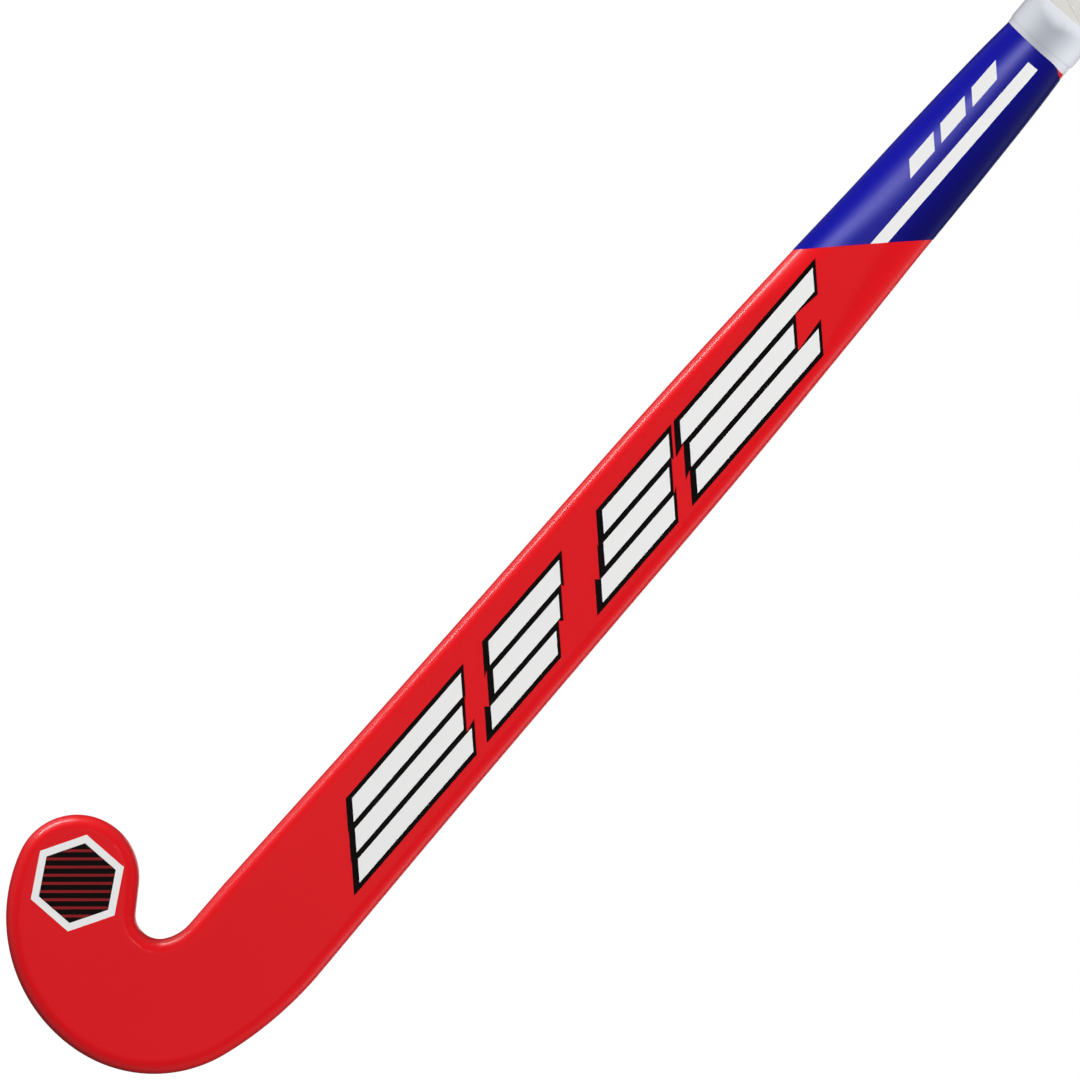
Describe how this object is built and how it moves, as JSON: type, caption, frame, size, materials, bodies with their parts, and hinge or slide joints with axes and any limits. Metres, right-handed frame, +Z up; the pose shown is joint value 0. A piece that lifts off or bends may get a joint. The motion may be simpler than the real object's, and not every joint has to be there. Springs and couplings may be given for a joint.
{
  "type": "field hockey stick",
  "caption": "Right-handed field hockey stick with a hooked wooden head, a flat playing face, a bowed shaft and a cream cushioned grip with a white finishing tape.",
  "frame": {"origin": "on the ground under the middle of the bounding box, with the stick standing upright on the lowest point of its head", "axes": "+Z up the handle to the butt, -Y out of the flat playing face, -X towards the toe"},
  "size_m": [0.1174, 0.081, 0.9143],
  "materials": {
    "mulberry": "bent mulberry lamination, planed and glued, fine straight grain",
    "cane": "split cane slip, open pores",
    "spring_rubber": "matte vulcanised strip",
    "red_lacquer": "satin red lacquer over fibreglass",
    "blue_lacquer": "satin blue lacquer over fibreglass",
    "binding_twine": "fine waxed twine, close wound",
    "underlay_foam": "soft closed-cell tape",
    "cream_grip": "matte synthetic leather, spiral wound",
    "white_tape": "stretched vinyl tape",
    "cap_rubber": "soft moulded cap",
    "black_print": "printed transfer under clear lacquer",
    "white_print": "printed transfer under clear lacquer"
  },
  "bodies": {
    "root": {"head_ply_1": "mulberry", "head_ply_2": "mulberry", "head_ply_3": "mulberry", "head_ply_4": "mulberry", "head_ply_5": "mulberry", "head_ply_6": "mulberry", "head_ply_7": "mulberry", "head_ply_8": "mulberry", "head_ply_9": "mulberry", "cane_slip_1": "cane", "cane_slip_2": "cane", "cane_slip_3": "cane", "cane_slip_4": "cane", "rubber_spring_1": "spring_rubber", "rubber_spring_2": "spring_rubber", "rubber_spring_3": "spring_rubber", "fibreglass_sleeve": "red_lacquer", "handle_binding": "binding_twine", "grip_underlay": "underlay_foam", "grip_wrap": "cream_grip", "finishing_tape": "white_tape", "butt_cap": "cap_rubber", "shaft_transfer_1": "black_print", "shaft_transfer_2": "black_print", "shaft_transfer_3": "black_print", "shaft_transfer_4": "black_print", "toe_transfer": "white_print", "neck_stripe": "white_print", "neck_dash_1": "white_print", "neck_dash_2": "white_print", "neck_dash_3": "white_print"}
  },
  "joints": []
}
